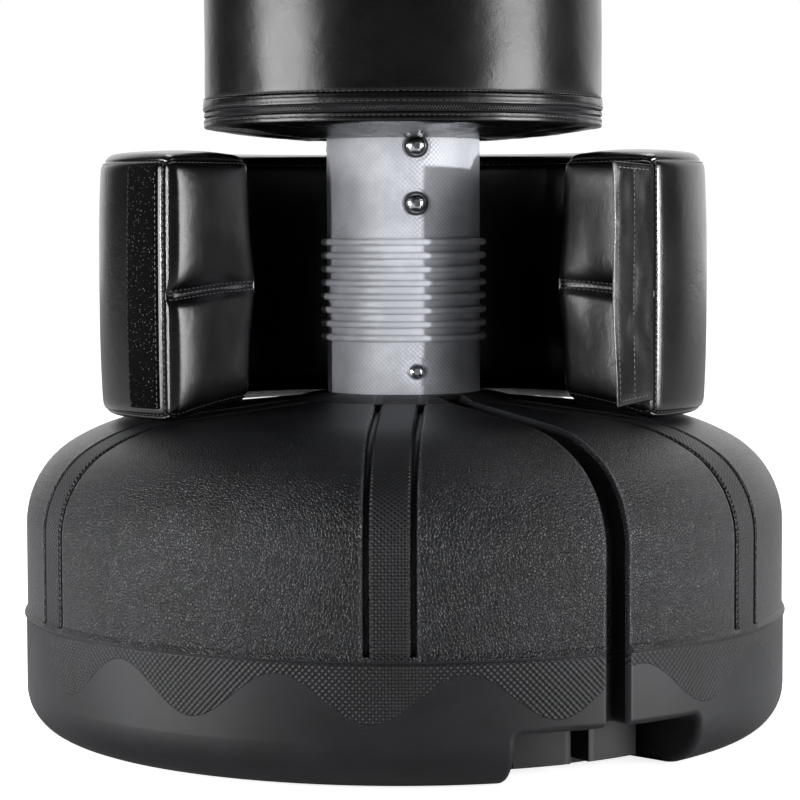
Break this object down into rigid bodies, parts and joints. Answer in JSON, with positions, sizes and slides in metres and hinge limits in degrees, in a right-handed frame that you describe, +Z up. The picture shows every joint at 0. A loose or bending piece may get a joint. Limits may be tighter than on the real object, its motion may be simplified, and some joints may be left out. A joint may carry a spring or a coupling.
{
  "type": "punching bag on stand",
  "caption": "Free-standing punching bag: padded cylinder on a ribbed flexible neck, split foam collar and round fillable grooved tank.",
  "frame": {"origin": "centre of the round tank's underside, on the ground", "axes": "+Z up along the neck and the bag; -Y towards the front, where the collar is split"},
  "size_m": [0.6107, 0.6108, 1.7],
  "materials": {
    "tank_plastic": "satin",
    "neck_plastic": "satin",
    "cap_plastic": "satin",
    "core_plastic": "matte",
    "black_washer": "satin",
    "zip_teeth": "satin",
    "steel_tube": "satin",
    "zinc_steel": "satin",
    "bolt_steel": "gloss",
    "zip_metal": "satin",
    "bag_leather": "satin",
    "collar_leather": "gloss",
    "foam": "matte",
    "zip_tape": "matte",
    "loop_fabric": "matte",
    "hook_fabric": "matte",
    "gasket_rubber": "matte"
  },
  "bodies": {
    "base": {"base_tank": "tank_plastic", "base_stem": "steel_tube", "anchor_washer": "zinc_steel", "anchor_bolt": "zinc_steel", "neck_lower_cuff": "neck_plastic", "lower_bolts": "bolt_steel"},
    "neck": {"neck_bellows": "neck_plastic"},
    "bag": {"neck_upper_cuff": "neck_plastic", "upper_bolts": "bolt_steel", "bolt_washers": "black_washer", "core_tube": "core_plastic", "core_plug": "core_plastic", "bag_foam": "foam", "bottom_panel": "bag_leather", "lower_band": "bag_leather", "zip_tape": "zip_tape", "zip_chain": "zip_teeth", "upper_band": "bag_leather", "bag_cover": "bag_leather", "top_panel": "bag_leather"},
    "slider": {"zip_slider": "zip_metal"},
    "pull": {"zip_pull": "zip_metal"},
    "collar": {"collar_back_foam": "foam", "collar_back_cover": "collar_leather"},
    "collar_left_arm": {"collar_left_foam": "foam", "collar_left_cover": "collar_leather", "loop_strip": "loop_fabric"},
    "collar_right_arm": {"collar_right_foam": "foam", "collar_right_cover": "collar_leather"},
    "flap": {"collar_flap": "collar_leather", "hook_strip": "hook_fabric"},
    "filler_lift": {"filler_gasket": "gasket_rubber"},
    "filler": {"filler_cap": "cap_plastic"}
  },
  "joints": [
    {"name": "neck_bend_forward", "type": "hinge", "parent": "base", "child": "neck", "pos_m": [0, 0, 0.3491], "axis": [1, 0, 0], "range_deg": [-4.5, 4.5], "stiffness_Nm_per_rad": 2000, "deforming": ["neck_bellows"]},
    {"name": "neck_bend_side", "type": "hinge", "parent": "neck", "child": "bag", "pos_m": [0, 0, 0.3491], "axis": [0, 1, 0], "range_deg": [-4.5, 4.5], "stiffness_Nm_per_rad": 2000},
    {"name": "zip_travel", "type": "hinge", "parent": "bag", "child": "slider", "pos_m": [0, 0, 0.48775], "axis": [0, 0, 1], "range_deg": [0, 330]},
    {"name": "zip_pull_swing", "type": "hinge", "parent": "slider", "child": "pull", "pos_m": [0, 0.165, 0.48775], "axis": [1, 0, 0], "range_deg": [0, 150]},
    {"name": "collar_pull_off", "type": "slide", "parent": "base", "child": "collar", "axis": [-0.0436, 0.999, 0], "range_m": [0, 0.45]},
    {"name": "collar_left_fold", "type": "hinge", "parent": "collar", "child": "collar_left_arm", "pos_m": [-0.03511, 0.09356, 0.36], "axis": [0, 0, 1], "range_deg": [0, 38]},
    {"name": "collar_right_fold", "type": "hinge", "parent": "collar", "child": "collar_right_arm", "pos_m": [0.02683, 0.09626, 0.36], "axis": [0, 0, -1], "range_deg": [0, 38]},
    {"name": "flap_peel", "type": "hinge", "parent": "collar_right_arm", "child": "flap", "pos_m": [0.19031, -0.1234, 0.36], "axis": [0, 0, 1], "range_deg": [0, 100]},
    {"name": "filler_lift_off", "type": "slide", "parent": "base", "child": "filler_lift", "axis": [0, 0, 1], "range_m": [0, 0.06]},
    {"name": "filler_unscrew", "type": "hinge", "parent": "filler_lift", "child": "filler", "pos_m": [0.12, 0.20785, 0.237], "axis": [0, 0, 1], "continuous": true}
  ]
}
